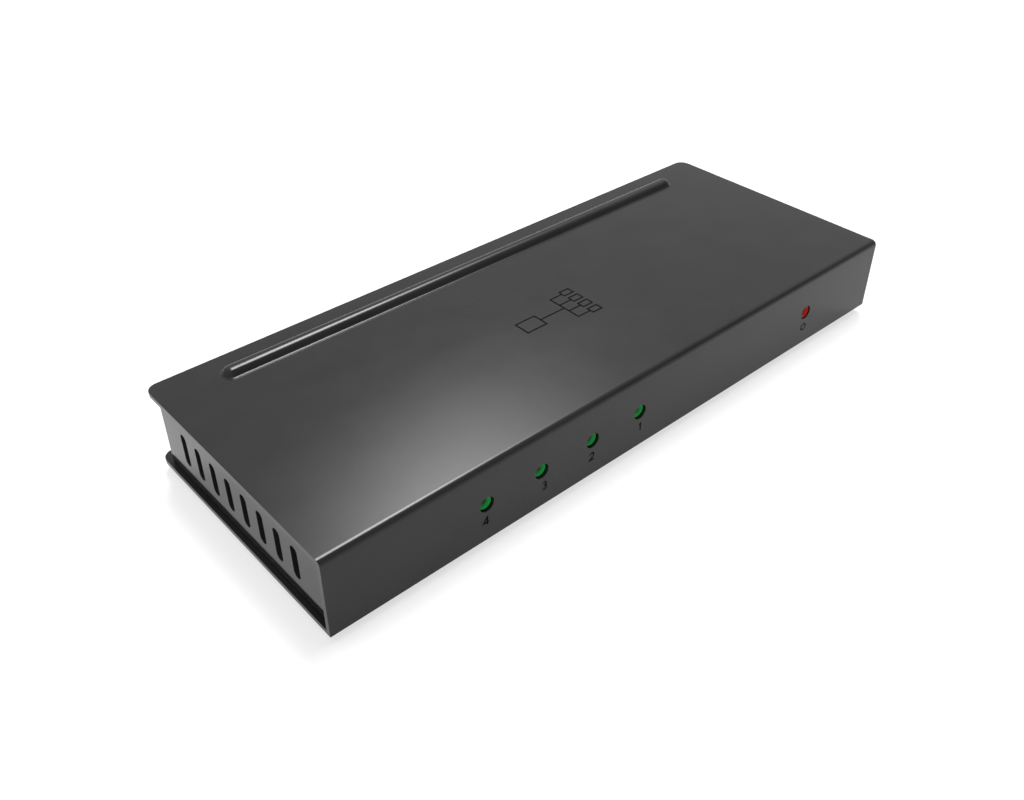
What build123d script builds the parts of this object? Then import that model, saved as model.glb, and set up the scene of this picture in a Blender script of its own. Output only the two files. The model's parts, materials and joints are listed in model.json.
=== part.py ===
from build123d import *
import os
from math import cos, radians, sin, tan

# An HDMI splitter in a flat folded-sheet case: one input, four outputs, five lamps in front.
# Millimetres. X runs along the case, Y from the front wall to the rear, Z up.
# The origin is under the middle of the case, level with the undersides of the feet.

# Case
case_length = 160.0
case_depth = 62.4
case_height = 18.0  # underside of the base plate to the upper face of the top plate
sheet = 1.0
end_overhang = 1.0
rear_overhang = 3.0
plate_corner_radius = 2.5
front_bend_inner_radius = 0.25
chassis_bend_radius = 0.5
chassis_corner_radius = 0.8
relief_height = 0.3  # shallow gap under the middle of each end wall
relief_depth = 0.7
relief_front_inset = 4.9
relief_rear_inset = 6.2
overrun = 1.0  # how far a cut runs past the face that it opens

# Bead pressed up along the rear of the top plate
bead_length = 133.2
bead_width = 4.0
bead_height = 1.4
bead_rear_inset = 6.7
bead_slope = 30.0  # degrees from upright
bead_top_radius = 1.5
bead_foot_radius = 0.5

# Vents in the end walls
vent_count = 8
vent_pitch = 5.66
vent_width = 2.15
vent_length = 7.73
vent_height = 9.14  # middle of the slots above the base plate's underside
vent_row_offset = -0.75

# Rubber feet
foot_diameter = 10.0
foot_height = 2.0
foot_edge_radius = 0.6
foot_end_inset = 22.0
foot_side_inset = 10.2

# Case screws, with the spacers and standoffs that they pass
screw_diameter = 3.0
screw_length = 10.0
screw_head_diameter = 6.0
screw_head_height = 1.0
screw_head_edge = 0.3
screw_clearance = 0.2
screw_end_inset = 9.0
screw_front_inset = 9.2
screw_rear_inset = 22.2
drive_length = 3.4
drive_width = 0.8
drive_depth = 0.6
thread_clearance = 0.05
spacer_diameter = 6.0
spacer_height = 2.4
standoff_diameter = 6.0
standoff_web = 3.0  # left solid above the thread
standoff_edge = 0.3

# Main board
board_thickness = 1.6
board_end_gap = 1.5
board_front_gap = 1.0
board_rear_gap = 0.5
board_corner_radius = 1.5

# HDMI sockets
output_count = 4
row_end_margin = 20.0  # from each end of the case to the nearest connector's middle
socket_opening_width = 14.0
socket_opening_height = 4.55
socket_floor_width = 10.6
socket_side_height = 2.9
socket_corner_radius = 0.4
socket_wall = 0.3
socket_depth = 11.9
socket_cavity_depth = 8.6
socket_block_length = 2.0
socket_proud = 0.6
socket_fit = 0.05
flare_length = 0.6
flare_slope = 35.0  # degrees
panel_clearance = 0.2
finger_count = 2  # in each of the two wide faces
finger_length = 4.6
finger_width = 1.4
finger_slit = 0.25
finger_spacing = 7.0
finger_inset = 2.4
leg_width = 1.4
leg_front_depth = 3.4
leg_rear_depth = 9.4
leg_reach = 0.8  # below the board
slot_clearance = 0.2
tail_window_width = 11.0
tail_window_height = 1.2
tongue_width = 11.6
tongue_thickness = 1.2
tongue_height = 2.2
tongue_setback = 1.2
tongue_chamfer = 0.2
upper_contact_count = 10
lower_contact_count = 9
contact_pitch = 1.0
contact_width = 0.3
contact_thickness = 0.2
contact_setback = 0.4
contact_foot = 1.0
contact_tail_gap = 0.2

# Power inlet
jack_headroom = 2.0  # between the square body and the top plate
jack_depth = 13.0
jack_edge = 0.4
jack_axis_rise = 0.1  # above the middle of the body
jack_nose_inset = 0.5  # from the body's sides
jack_nose_wall = 0.9
jack_proud = 0.6
jack_gap = 0.1
jack_bore_depth = 9.5
jack_mouth_chamfer = 0.4
jack_pin_diameter = 2.0
jack_pin_setback = 1.0
jack_tip_radius = 0.5
jack_shank_diameter = 1.4
jack_rivet_diameter = 3.0
jack_rivet_height = 0.4
jack_strip_thickness = 0.4
jack_strip_width = 2.4
jack_strip_top = 2.0  # of the rear strip above the pin's axis
jack_leaf_length = 6.0
jack_leaf_depth = 3.7
jack_leaf_drop = 0.7
jack_side_depth = 8.0

# Lamps
led_count = 4
led_pitch = 13.73
led_row_end_inset = 35.11  # from the outputs' end of the case to the last green lamp
power_led_end_inset = 26.7  # from the inlet's end of the case to the red lamp
led_height = 8.8  # above the base plate's underside
led_hole_diameter = 3.4
led_clearance = 0.15
green_led_recess = 0.65  # lens face behind the front of the case
red_led_recess = 0.3
led_length = 5.55  # flange to face of a green lamp
led_flange_width = 0.4
led_flange_length = 1.0
led_rim = 0.22
led_dish_depth = 0.4
holder_width = 5.0
holder_rise = 2.4  # above the lamp's axis
holder_overhang = 0.6  # in front of the board
holder_fit = 0.05
lead_width = 0.5
lead_spacing = 2.54
lead_run = 0.9
lead_reach = 1.0
lead_clearance = 0.15

# Splitter chip and its heat sink
splitter_size = 14.0
splitter_height = 1.4
splitter_lead_count = 16
splitter_lead_pitch = 0.8
splitter_lead_width = 0.36
package_standoff = 0.1
package_edge = 0.15
package_lead_thickness = 0.15
package_lead_reach = 1.0
package_lead_knee = 0.4
pad_size = 13.0
pad_thickness = 0.5
sink_size = 22.0
sink_base = 1.5
sink_headroom = 2.5  # between the fins and the top plate
fin_count = 7
fin_thickness = 1.0

# Controller and memory
controller_size = 7.0
controller_height = 1.4
controller_lead_count = 8
controller_lead_pitch = 0.8
memory_length = 4.9
memory_width = 3.9
memory_height = 1.4
memory_lead_count = 4
memory_lead_pitch = 1.27

# Power parts
regulator_length = 6.5
regulator_width = 3.5
regulator_height = 1.6
regulator_tab_width = 3.0
regulator_lead_width = 0.75
regulator_lead_pitch = 2.3
regulator_lead_count = 3
regulator_lead_reach = 1.75
inductor_size = 7.3
inductor_height = 4.0
inductor_corner = 1.6
inductor_core_diameter = 5.6
inductor_core_recess = 0.4
fuse_length = 4.5
fuse_width = 3.2
fuse_height = 1.1
diode_length = 4.3
diode_width = 2.6
diode_height = 2.2
tab_thickness = 0.3
tab_height = 0.8
tab_width_share = 0.7  # of the width of the part that the tabs carry
can_diameter = 6.3
can_height = 5.4
can_base_height = 1.3
can_base_margin = 0.3
can_base_corner = 1.6
can_edge = 0.5
can_groove_depth = 0.25
can_groove_width = 0.5
crystal_length = 11.4
crystal_width = 4.7
crystal_height = 3.6
crystal_flange = 0.4
crystal_edge = 0.4

# Small chip parts
array_length = 2.5
array_width = 1.2
array_height = 0.6
arrays_per_socket = 2
array_spacing = 5.2
array_gap = 0.9  # behind the sockets' contact feet
chip_length = 1.6
chip_width = 0.8
chip_end = 0.3
capacitor_height = 0.8
resistor_height = 0.45
chip_row_gap = 0.8
chips_per_socket = 4
chip_spacing = 2.4
ring_gap = 1.0
ring_spacing = 4.0
ring_row_count = 3

# Places on the board: shares of half its length, and of the depth between sockets and lamps
splitter_place_shares = (0.04, 0.5)
controller_place_shares = (-0.40, 0.45)
memory_place_shares = (-0.62, 0.50)
crystal_place_shares = (-0.40, 0.10)
regulator_place_shares = ((0.36, 0.22), (0.36, 0.72))
inductor_place_shares = (0.55, 0.55)
can_place_shares = ((0.55, 0.14), (0.76, 0.14), (0.76, 0.86))
fuse_place_shares = (0.76, 0.38)
diode_place_shares = (0.76, 0.60)

# Levels
base_z = foot_height
floor_z = base_z + sheet
board_bottom_z = floor_z + sheet + spacer_height
board_z = board_bottom_z + board_thickness
top_z = base_z + case_height
roof_z = top_z - sheet
led_z = base_z + led_height
vent_z = base_z + vent_height

# Planes of the walls
front_y = -case_depth / 2
front_inner_y = front_y + sheet
rear_y = case_depth / 2
rear_wall_y = rear_y - rear_overhang
rear_wall_inner_y = rear_wall_y - sheet
end_wall_x = case_length / 2 - end_overhang
end_wall_inner_x = end_wall_x - sheet
bead_y = rear_y - bead_rear_inset

# Rows of holes and connectors
screw_x = case_length / 2 - screw_end_inset
screw_ys = (front_y + screw_front_inset, rear_y - screw_rear_inset)
screw_places = [(x, y) for x in (-screw_x, screw_x) for y in screw_ys]
foot_x = case_length / 2 - foot_end_inset
foot_y = case_depth / 2 - foot_side_inset
foot_places = [(x, y) for x in (-foot_x, foot_x) for y in (-foot_y, foot_y)]
connector_pitch = (case_length - 2 * row_end_margin) / (output_count + 1)
jack_x = case_length / 2 - row_end_margin
input_x = jack_x - connector_pitch
output_xs = [input_x - (index + 1) * connector_pitch for index in range(output_count)]
socket_xs = [input_x] + output_xs
led_row_x = led_row_end_inset - case_length / 2
green_led_xs = [led_row_x + (led_count - 1 - index) * led_pitch for index in range(led_count)]
led_xs = green_led_xs + [case_length / 2 - power_led_end_inset]

# Board outline
board_half_length = end_wall_inner_x - board_end_gap
board_front_y = front_inner_y + board_front_gap
board_rear_y = rear_wall_inner_y - board_rear_gap

# Socket levels and depths
mouth_y = rear_wall_y + socket_proud
socket_floor_z = board_z + socket_wall
chamfer_rise = socket_opening_height - socket_side_height
block_back_y = mouth_y - socket_cavity_depth - socket_block_length
tongue_z = socket_floor_z + tongue_height
tail_y = block_back_y - contact_tail_gap
foot_end_y = tail_y - contact_thickness - contact_foot
leg_x = (socket_opening_width + socket_wall) / 2
leg_ys = (mouth_y - leg_front_depth, mouth_y - leg_rear_depth)

# Inlet sizes, levels and depths
jack_size = roof_z - board_z - jack_headroom
jack_nose_diameter = jack_size - 2 * jack_nose_inset
jack_bore_diameter = jack_nose_diameter - 2 * jack_nose_wall
jack_axis_z = board_z + jack_size / 2 + jack_axis_rise
jack_face_y = rear_wall_y + jack_proud
jack_front_y = rear_wall_inner_y - jack_gap
jack_back_y = jack_front_y - jack_depth
jack_leg_bottom_z = board_bottom_z - leg_reach
jack_leaf_z = jack_axis_z - jack_bore_diameter / 2 - jack_leaf_drop
jack_leaf_y = jack_face_y - jack_leaf_depth - jack_leaf_length / 2
jack_side_y = jack_face_y - jack_side_depth
jack_side_x = jack_x + (jack_size + jack_strip_thickness) / 2

# Lamp depths
led_radius = led_hole_diameter / 2 - led_clearance
green_led_face_y = front_y + green_led_recess
led_flange_y = green_led_face_y + led_length
led_face_ys = [green_led_face_y] * led_count + [front_y + red_led_recess]
led_back_y = led_flange_y + led_flange_length
lead_bend_y = led_back_y + lead_run
lead_y = lead_bend_y - lead_width / 2
holder_front_y = board_front_y - holder_overhang
led_lead_xs = [x + side * lead_spacing / 2 for x in led_xs for side in (-1, 1)]

# Free board between the lamps and the parts that serve the sockets
array_y = foot_end_y - array_gap - array_width / 2
chip_row_y = array_y - (array_width + chip_width) / 2 - chip_row_gap
field_front_y = lead_bend_y
field_rear_y = chip_row_y - chip_width


def rear_plane(x, y, z):
    """A plane that faces the rear, with its local Y up."""
    return Plane(origin=(x, y, z), x_dir=(-1, 0, 0), z_dir=(0, 1, 0))


def front_plane(x, y, z):
    """A plane that faces the front, with its local Y up."""
    return Plane(origin=(x, y, z), x_dir=(1, 0, 0), z_dir=(0, -1, 0))


def board_place(shares):
    """The point of the board that two shares name."""
    x_share, y_share = shares
    return board_half_length * x_share, field_front_y + (field_rear_y - field_front_y) * y_share


def row(count, pitch):
    """Places along a line, evenly spaced about its middle."""
    return [(index - (count - 1) / 2) * pitch for index in range(count)]


os.makedirs("parts", exist_ok=True)

# Top cover: the top plate and the front wall, folded from one sheet
groove_width = bead_width - 2 * sheet / cos(radians(bead_slope)) + 2 * sheet * tan(radians(bead_slope))
with BuildPart() as top_cover:
    with BuildSketch(Plane.YZ):
        with BuildLine():
            Polyline(
                (rear_y, top_z),
                (front_y, top_z),
                (front_y, base_z),
                (front_inner_y, base_z),
                (front_inner_y, roof_z),
                (rear_y, roof_z),
                close=True,
            )
        make_face()
    extrude(amount=case_length / 2, both=True)
    outer_bend = top_cover.edges().filter_by(Axis.X).sort_by_distance((0, front_y, top_z))[0]
    fillet(outer_bend, front_bend_inner_radius + sheet)
    inner_bend = top_cover.edges().filter_by(Axis.X).sort_by_distance((0, front_inner_y, roof_z))[0]
    fillet(inner_bend, front_bend_inner_radius)
    fillet(top_cover.edges().filter_by(Axis.Z).group_by(Axis.Y)[-1], plate_corner_radius)
    with BuildSketch(Plane.XY.offset(top_z)):
        with Locations((0, bead_y)):
            SlotOverall(bead_length, bead_width)
    extrude(amount=bead_height, taper=bead_slope)
    fillet(top_cover.edges().group_by(Axis.Z)[-1], bead_top_radius)
    upper_face = top_cover.faces().filter_by(Axis.Z).sort_by_distance((0, 0, top_z))[0]
    fillet(upper_face.inner_wires()[0].edges(), bead_foot_radius)
    with BuildSketch(Plane.XY.offset(roof_z)):
        with Locations((0, bead_y)):
            SlotOverall(bead_length - bead_width + groove_width, groove_width)
    extrude(amount=bead_height, taper=bead_slope, mode=Mode.SUBTRACT)
    with BuildSketch(front_plane(0, front_y, led_z)):
        with Locations(*[(x, 0) for x in led_xs]):
            Circle(led_hole_diameter / 2)
    extrude(amount=-sheet - overrun, mode=Mode.SUBTRACT)
top_cover.part.label = "top_cover"
export_step(top_cover.part, "parts/top_cover.step")

# Base plate: a flat sheet that butts against the front wall
with BuildPart() as base_plate:
    with BuildSketch(Plane.XY.offset(base_z)) as plate_outline:
        with Locations((0, (front_inner_y + rear_y) / 2)):
            Rectangle(case_length, rear_y - front_inner_y)
        fillet(plate_outline.vertices().group_by(Axis.Y)[-1], plate_corner_radius)
        with Locations(*screw_places):
            Circle(screw_diameter / 2 + screw_clearance, mode=Mode.SUBTRACT)
    extrude(amount=sheet)
base_plate.part.label = "base_plate"
export_step(base_plate.part, "parts/base_plate.step")


def socket_outline():
    """The socket's opening, standing on its floor: wide above, with its lower corners cut off."""
    return Polygon(
        (-socket_floor_width / 2, 0),
        (socket_floor_width / 2, 0),
        (socket_opening_width / 2, chamfer_rise),
        (socket_opening_width / 2, socket_opening_height),
        (-socket_opening_width / 2, socket_opening_height),
        (-socket_opening_width / 2, chamfer_rise),
        align=None,
    )


# Tray that opens to the front: floor, rear wall and vented end walls
chassis_depth = rear_wall_y - front_inner_y
flare_spread = flare_length * tan(radians(flare_slope))
with BuildPart() as tray:
    with BuildSketch(Plane.XY.offset(floor_z)):
        with Locations((0, front_inner_y + chassis_depth / 2)):
            Rectangle(2 * end_wall_x, chassis_depth)
    extrude(amount=roof_z - floor_z)
    fillet(tray.edges().filter_by(Axis.Z).group_by(Axis.Y)[-1], chassis_corner_radius)
    fillet(tray.faces().sort_by(Axis.Z)[0].edges().sort_by(Axis.Y)[1:], chassis_bend_radius)
    with BuildSketch(Plane.XY.offset(floor_z + sheet)):
        with Locations((0, rear_wall_inner_y - chassis_depth / 2)):
            Rectangle(2 * end_wall_inner_x, chassis_depth)
    extrude(amount=case_height, mode=Mode.SUBTRACT)
    upper_corners = tray.edges().filter_by(Axis.X).group_by(Axis.Z)[-1].group_by(Axis.Y)[0]
    chamfer(upper_corners, front_bend_inner_radius)
    with BuildSketch(Plane.YZ.offset(-case_length / 2)):
        with Locations(*[(vent_row_offset + y, vent_z) for y in row(vent_count, vent_pitch)]):
            SlotOverall(vent_length, vent_width, rotation=90)
    extrude(amount=case_length, mode=Mode.SUBTRACT)
    relief_length = chassis_depth - relief_front_inset - relief_rear_inset
    with BuildSketch(Plane.XY.offset(floor_z)):
        with Locations(*[(side * end_wall_x, front_inner_y + relief_front_inset) for side in (-1, 1)]):
            Rectangle(2 * relief_depth, relief_length, align=(Align.CENTER, Align.MIN))
    extrude(amount=relief_height, mode=Mode.SUBTRACT)
    with BuildSketch(rear_plane(0, rear_wall_y, socket_floor_z)) as socket_cuts:
        with Locations(*[(-x, 0) for x in socket_xs]):
            socket_outline()
        fillet(socket_cuts.vertices(), socket_corner_radius)
        offset(amount=socket_wall + flare_spread + panel_clearance)
    extrude(amount=-sheet - overrun, mode=Mode.SUBTRACT)
    with BuildSketch(rear_plane(jack_x, rear_wall_y, jack_axis_z)):
        Circle(jack_nose_diameter / 2 + panel_clearance)
    extrude(amount=-sheet - overrun, mode=Mode.SUBTRACT)
    with BuildSketch(Plane.XY.offset(floor_z)):
        with Locations(*screw_places):
            Circle(screw_diameter / 2 + screw_clearance)
    extrude(amount=sheet + overrun, mode=Mode.SUBTRACT)

# The tray's three sheets: the end walls stand against the sides of the chassis
with BuildPart() as chassis:
    add(tray.part)
    split(bisect_by=Plane.YZ.offset(end_wall_inner_x), keep=Keep.BOTTOM)
    split(bisect_by=Plane.YZ.offset(-end_wall_inner_x), keep=Keep.TOP)
chassis.part.label = "chassis"
export_step(chassis.part, "parts/chassis.step")

with BuildPart() as left_end_wall:
    add(tray.part)
    split(bisect_by=Plane.YZ.offset(-end_wall_inner_x), keep=Keep.BOTTOM)
left_end_wall.part.label = "left_end_wall"
export_step(left_end_wall.part, "parts/left_end_wall.step")

with BuildPart() as right_end_wall:
    add(tray.part)
    split(bisect_by=Plane.YZ.offset(end_wall_inner_x), keep=Keep.TOP)
right_end_wall.part.label = "right_end_wall"
export_step(right_end_wall.part, "parts/right_end_wall.step")

# Rubber feet, stuck under the base plate
with BuildPart() as rubber_feet:
    with BuildSketch():
        with Locations(*foot_places):
            Circle(foot_diameter / 2)
    extrude(amount=foot_height)
    fillet(rubber_feet.edges().group_by(Axis.Z)[0], foot_edge_radius)
rubber_feet.part.label = "rubber_feet"
export_step(rubber_feet.part, "parts/rubber_feet.step")

# Case screws, driven in from below
with BuildPart() as case_screws:
    with BuildSketch(Plane.XY.offset(base_z)):
        with Locations(*screw_places):
            Circle(screw_head_diameter / 2)
    extrude(amount=-screw_head_height)
    fillet(case_screws.edges().group_by(Axis.Z)[0], screw_head_edge)
    with BuildSketch(Plane.XY.offset(base_z)):
        with Locations(*screw_places):
            Circle(screw_diameter / 2)
    extrude(amount=screw_length)
    with BuildSketch(Plane.XY.offset(base_z - screw_head_height)):
        with Locations(*screw_places):
            Rectangle(drive_length, drive_width)
            Rectangle(drive_width, drive_length)
    extrude(amount=drive_depth, mode=Mode.SUBTRACT)
case_screws.part.label = "case_screws"
export_step(case_screws.part, "parts/case_screws.step")

# Spacers between the chassis floor and the board
with BuildPart() as board_spacers:
    with BuildSketch(Plane.XY.offset(floor_z + sheet)):
        with Locations(*screw_places):
            Circle(spacer_diameter / 2)
            Circle(screw_diameter / 2 + screw_clearance, mode=Mode.SUBTRACT)
    extrude(amount=spacer_height)
board_spacers.part.label = "board_spacers"
export_step(board_spacers.part, "parts/board_spacers.step")

# Threaded standoffs under the top plate, which clamp the board and take the screws
with BuildPart() as cover_standoffs:
    with BuildSketch(Plane.XY.offset(board_z)):
        with Locations(*screw_places):
            Circle(standoff_diameter / 2)
    extrude(amount=roof_z - board_z)
    chamfer(cover_standoffs.edges().group_by(Axis.Z)[0], standoff_edge)
    with BuildSketch(Plane.XY.offset(board_z)):
        with Locations(*screw_places):
            Circle(screw_diameter / 2 + thread_clearance)
    extrude(amount=roof_z - board_z - standoff_web, mode=Mode.SUBTRACT)
cover_standoffs.part.label = "cover_standoffs"
export_step(cover_standoffs.part, "parts/cover_standoffs.step")

# Main board, with holes for the screws and for every leg that passes it
jack_slots = (
    (jack_x, jack_back_y - jack_strip_thickness / 2, jack_strip_width, jack_strip_thickness),
    (jack_x, jack_leaf_y, jack_strip_width, jack_strip_thickness),
    (jack_side_x, jack_side_y, jack_strip_thickness, jack_strip_width),
)
with BuildPart() as main_board:
    with BuildSketch(Plane.XY.offset(board_bottom_z)) as board_outline:
        with Locations((0, (board_front_y + board_rear_y) / 2)):
            Rectangle(2 * board_half_length, board_rear_y - board_front_y)
        fillet(board_outline.vertices(), board_corner_radius)
        with Locations(*screw_places):
            Circle(screw_diameter / 2 + screw_clearance, mode=Mode.SUBTRACT)
        with Locations(*[(x + side * leg_x, y) for x in socket_xs for side in (-1, 1) for y in leg_ys]):
            Rectangle(socket_wall + 2 * slot_clearance, leg_width + 2 * slot_clearance, mode=Mode.SUBTRACT)
        with Locations(*[(x, lead_y) for x in led_lead_xs]):
            Circle(lead_width / 2 + 2 * lead_clearance, mode=Mode.SUBTRACT)
        for x, y, width, depth in jack_slots:
            with Locations((x, y)):
                Rectangle(width + 2 * slot_clearance, depth + 2 * slot_clearance, mode=Mode.SUBTRACT)
    extrude(amount=board_thickness)
main_board.part.label = "main_board"
export_step(main_board.part, "parts/main_board.step")

# Socket shell: a folded tube with a flared mouth, spring fingers and four board legs
finger_xs = row(finger_count, finger_spacing)
with BuildPart() as socket_shell:
    with BuildSketch(rear_plane(0, mouth_y, socket_floor_z)) as tube:
        socket_outline()
        fillet(tube.vertices(), socket_corner_radius)
        offset(amount=socket_wall)
    extrude(amount=-socket_depth)
    with BuildSketch(rear_plane(0, mouth_y - flare_length, socket_floor_z)) as flare:
        socket_outline()
        fillet(flare.vertices(), socket_corner_radius)
        offset(amount=socket_wall)
    extrude(amount=flare_length, taper=-flare_slope)
    with BuildSketch(rear_plane(0, mouth_y, socket_floor_z)) as cavity:
        socket_outline()
        fillet(cavity.vertices(), socket_corner_radius)
    extrude(amount=socket_wall - socket_depth, mode=Mode.SUBTRACT)
    with BuildSketch(rear_plane(0, mouth_y - flare_length, socket_floor_z)) as flare_cavity:
        socket_outline()
        fillet(flare_cavity.vertices(), socket_corner_radius)
    extrude(amount=flare_length, taper=-flare_slope, mode=Mode.SUBTRACT)
    with BuildSketch(Plane.XY.offset(board_z)):
        with Locations((0, block_back_y)):
            Rectangle(tail_window_width, socket_depth, align=(Align.CENTER, Align.MAX))
    extrude(amount=tail_window_height, mode=Mode.SUBTRACT)
    with BuildSketch(Plane.XY.offset(board_z)) as finger_slits:
        with Locations(*[(x, mouth_y - finger_inset) for x in finger_xs]):
            Rectangle(finger_width + 2 * finger_slit, finger_length, align=(Align.CENTER, Align.MAX))
        with Locations(*[(x, mouth_y - finger_inset - finger_slit) for x in finger_xs]):
            Rectangle(finger_width, finger_length, align=(Align.CENTER, Align.MAX), mode=Mode.SUBTRACT)
    extrude(amount=socket_opening_height + 2 * socket_wall, mode=Mode.SUBTRACT)
    with BuildSketch(Plane.XY.offset(board_bottom_z - leg_reach)):
        with Locations(*[(side * leg_x, y) for side in (-1, 1) for y in leg_ys]):
            Rectangle(socket_wall, leg_width)
    extrude(amount=leg_reach + board_thickness + socket_wall + chamfer_rise + socket_side_height / 2)

# Contact strips: along the tongue, through the block, down behind it and out on a foot
upper_planes = [Plane.YZ.offset(x) for x in row(upper_contact_count, contact_pitch)]
lower_planes = [Plane.YZ.offset(x) for x in row(lower_contact_count, contact_pitch)]


def contact_profile(top):
    """The side view of one contact whose strip has its upper face at the height top."""
    return Polygon(
        (mouth_y - tongue_setback - contact_setback, top),
        (tail_y - contact_thickness, top),
        (tail_y - contact_thickness, board_z + contact_thickness),
        (foot_end_y, board_z + contact_thickness),
        (foot_end_y, board_z),
        (tail_y, board_z),
        (tail_y, top - contact_thickness),
        (mouth_y - tongue_setback - contact_setback, top - contact_thickness),
        align=None,
    )


with BuildPart() as socket_contacts:
    with BuildSketch(*upper_planes):
        contact_profile(tongue_z + tongue_thickness / 2)
    extrude(amount=contact_width / 2, both=True)
    with BuildSketch(*lower_planes):
        contact_profile(tongue_z - tongue_thickness / 2 + contact_thickness)
    extrude(amount=contact_width / 2, both=True)

# Insulator: a block that fills the back of the shell, with the tongue that carries the contacts
with BuildPart() as socket_insulator:
    with BuildSketch(rear_plane(0, block_back_y, socket_floor_z)) as block:
        socket_outline()
        fillet(block.vertices(), socket_corner_radius)
        offset(amount=-socket_fit)
    extrude(amount=socket_block_length)
    with BuildSketch(rear_plane(0, block_back_y + socket_block_length, tongue_z)):
        Rectangle(tongue_width, tongue_thickness)
    extrude(amount=socket_cavity_depth - tongue_setback)
    chamfer(socket_insulator.faces().sort_by(Axis.Y)[-1].edges(), tongue_chamfer)
    with BuildSketch(*upper_planes):
        contact_profile(tongue_z + tongue_thickness / 2)
    extrude(amount=contact_width / 2, both=True, mode=Mode.SUBTRACT)
    with BuildSketch(*lower_planes):
        contact_profile(tongue_z - tongue_thickness / 2 + contact_thickness)
    extrude(amount=contact_width / 2, both=True, mode=Mode.SUBTRACT)

socket_names = ["hdmi_in"] + [f"hdmi_out_{index + 1}" for index in range(output_count)]
for socket_name, x in zip(socket_names, socket_xs):
    for piece_name, piece in (
        ("shell", socket_shell.part),
        ("insulator", socket_insulator.part),
        ("contacts", socket_contacts.part),
    ):
        placed = Pos(x, 0, 0) * piece
        placed.label = f"{socket_name}_{piece_name}"
        export_step(placed, f"parts/{placed.label}.step")

# Power inlet: moulded body with a round nose that passes the rear wall
with BuildPart() as power_jack_body:
    with BuildSketch(rear_plane(jack_x, jack_front_y, board_z)):
        Rectangle(jack_size, jack_size, align=(Align.CENTER, Align.MIN))
    extrude(amount=-jack_depth)
    chamfer(power_jack_body.edges().filter_by(Axis.Y).group_by(Axis.Z)[-1], jack_edge)
    with BuildSketch(rear_plane(jack_x, jack_front_y, jack_axis_z)):
        Circle(jack_nose_diameter / 2)
    extrude(amount=jack_face_y - jack_front_y)
    with BuildSketch(rear_plane(jack_x, jack_face_y, jack_axis_z)):
        Circle(jack_bore_diameter / 2)
    extrude(amount=-jack_bore_depth, mode=Mode.SUBTRACT)
    chamfer(power_jack_body.faces().sort_by(Axis.Y)[-1].inner_wires()[0].edges(), jack_mouth_chamfer)
    with BuildSketch(rear_plane(jack_x, jack_back_y, jack_axis_z)):
        Circle(jack_shank_diameter / 2)
    extrude(amount=jack_depth, mode=Mode.SUBTRACT)
    with BuildSketch(Plane.XY.offset(jack_leaf_z)):
        with Locations((jack_x, jack_leaf_y)):
            Rectangle(jack_strip_width, jack_leaf_length)
    extrude(amount=jack_axis_z - jack_leaf_z, mode=Mode.SUBTRACT)
    with BuildSketch(Plane.XY.offset(board_z)):
        with Locations((jack_x, jack_leaf_y)):
            Rectangle(jack_strip_width, jack_strip_thickness)
    extrude(amount=jack_leaf_z - board_z, mode=Mode.SUBTRACT)
power_jack_body.part.label = "power_jack_body"
export_step(power_jack_body.part, "parts/power_jack_body.step")

# Centre pin of the inlet: it stands on the bore's bottom, and its thin shank is riveted behind
with BuildPart() as power_jack_pin:
    with BuildSketch(rear_plane(jack_x, jack_face_y - jack_bore_depth, jack_axis_z)):
        Circle(jack_pin_diameter / 2)
    extrude(amount=jack_bore_depth - jack_pin_setback)
    fillet(power_jack_pin.edges().group_by(Axis.Y)[-1], jack_tip_radius)
    with BuildSketch(rear_plane(jack_x, jack_back_y - jack_strip_thickness, jack_axis_z)):
        Circle(jack_shank_diameter / 2)
    extrude(amount=jack_face_y - jack_bore_depth - jack_back_y + jack_strip_thickness)
    with BuildSketch(rear_plane(jack_x, jack_back_y - jack_strip_thickness, jack_axis_z)):
        Circle(jack_rivet_diameter / 2)
    extrude(amount=-jack_rivet_height)
power_jack_pin.part.label = "power_jack_pin"
export_step(power_jack_pin.part, "parts/power_jack_pin.step")

# Terminals of the inlet: rear strip, leaf under the bore, and side strip
with BuildPart() as power_jack_terminals:
    with BuildSketch(rear_plane(jack_x, jack_back_y, jack_leg_bottom_z)) as rear_strip:
        Rectangle(
            jack_strip_width,
            jack_axis_z + jack_strip_top - jack_leg_bottom_z,
            align=(Align.CENTER, Align.MIN),
        )
        with Locations((0, jack_axis_z - jack_leg_bottom_z)):
            Circle(jack_shank_diameter / 2, mode=Mode.SUBTRACT)
    extrude(amount=-jack_strip_thickness)
    with BuildSketch(Plane.XY.offset(jack_leaf_z)):
        with Locations((jack_x, jack_leaf_y)):
            Rectangle(jack_strip_width, jack_leaf_length)
    extrude(amount=jack_strip_thickness)
    with BuildSketch(Plane.XY.offset(jack_leg_bottom_z)):
        with Locations((jack_x, jack_leaf_y)):
            Rectangle(jack_strip_width, jack_strip_thickness)
    extrude(amount=jack_leaf_z - jack_leg_bottom_z)
    with BuildSketch(Plane.XY.offset(jack_leg_bottom_z)):
        with Locations((jack_side_x, jack_side_y)):
            Rectangle(jack_strip_thickness, jack_strip_width)
    extrude(amount=jack_axis_z - jack_leg_bottom_z)
power_jack_terminals.part.label = "power_jack_terminals"
export_step(power_jack_terminals.part, "parts/power_jack_terminals.step")

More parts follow.
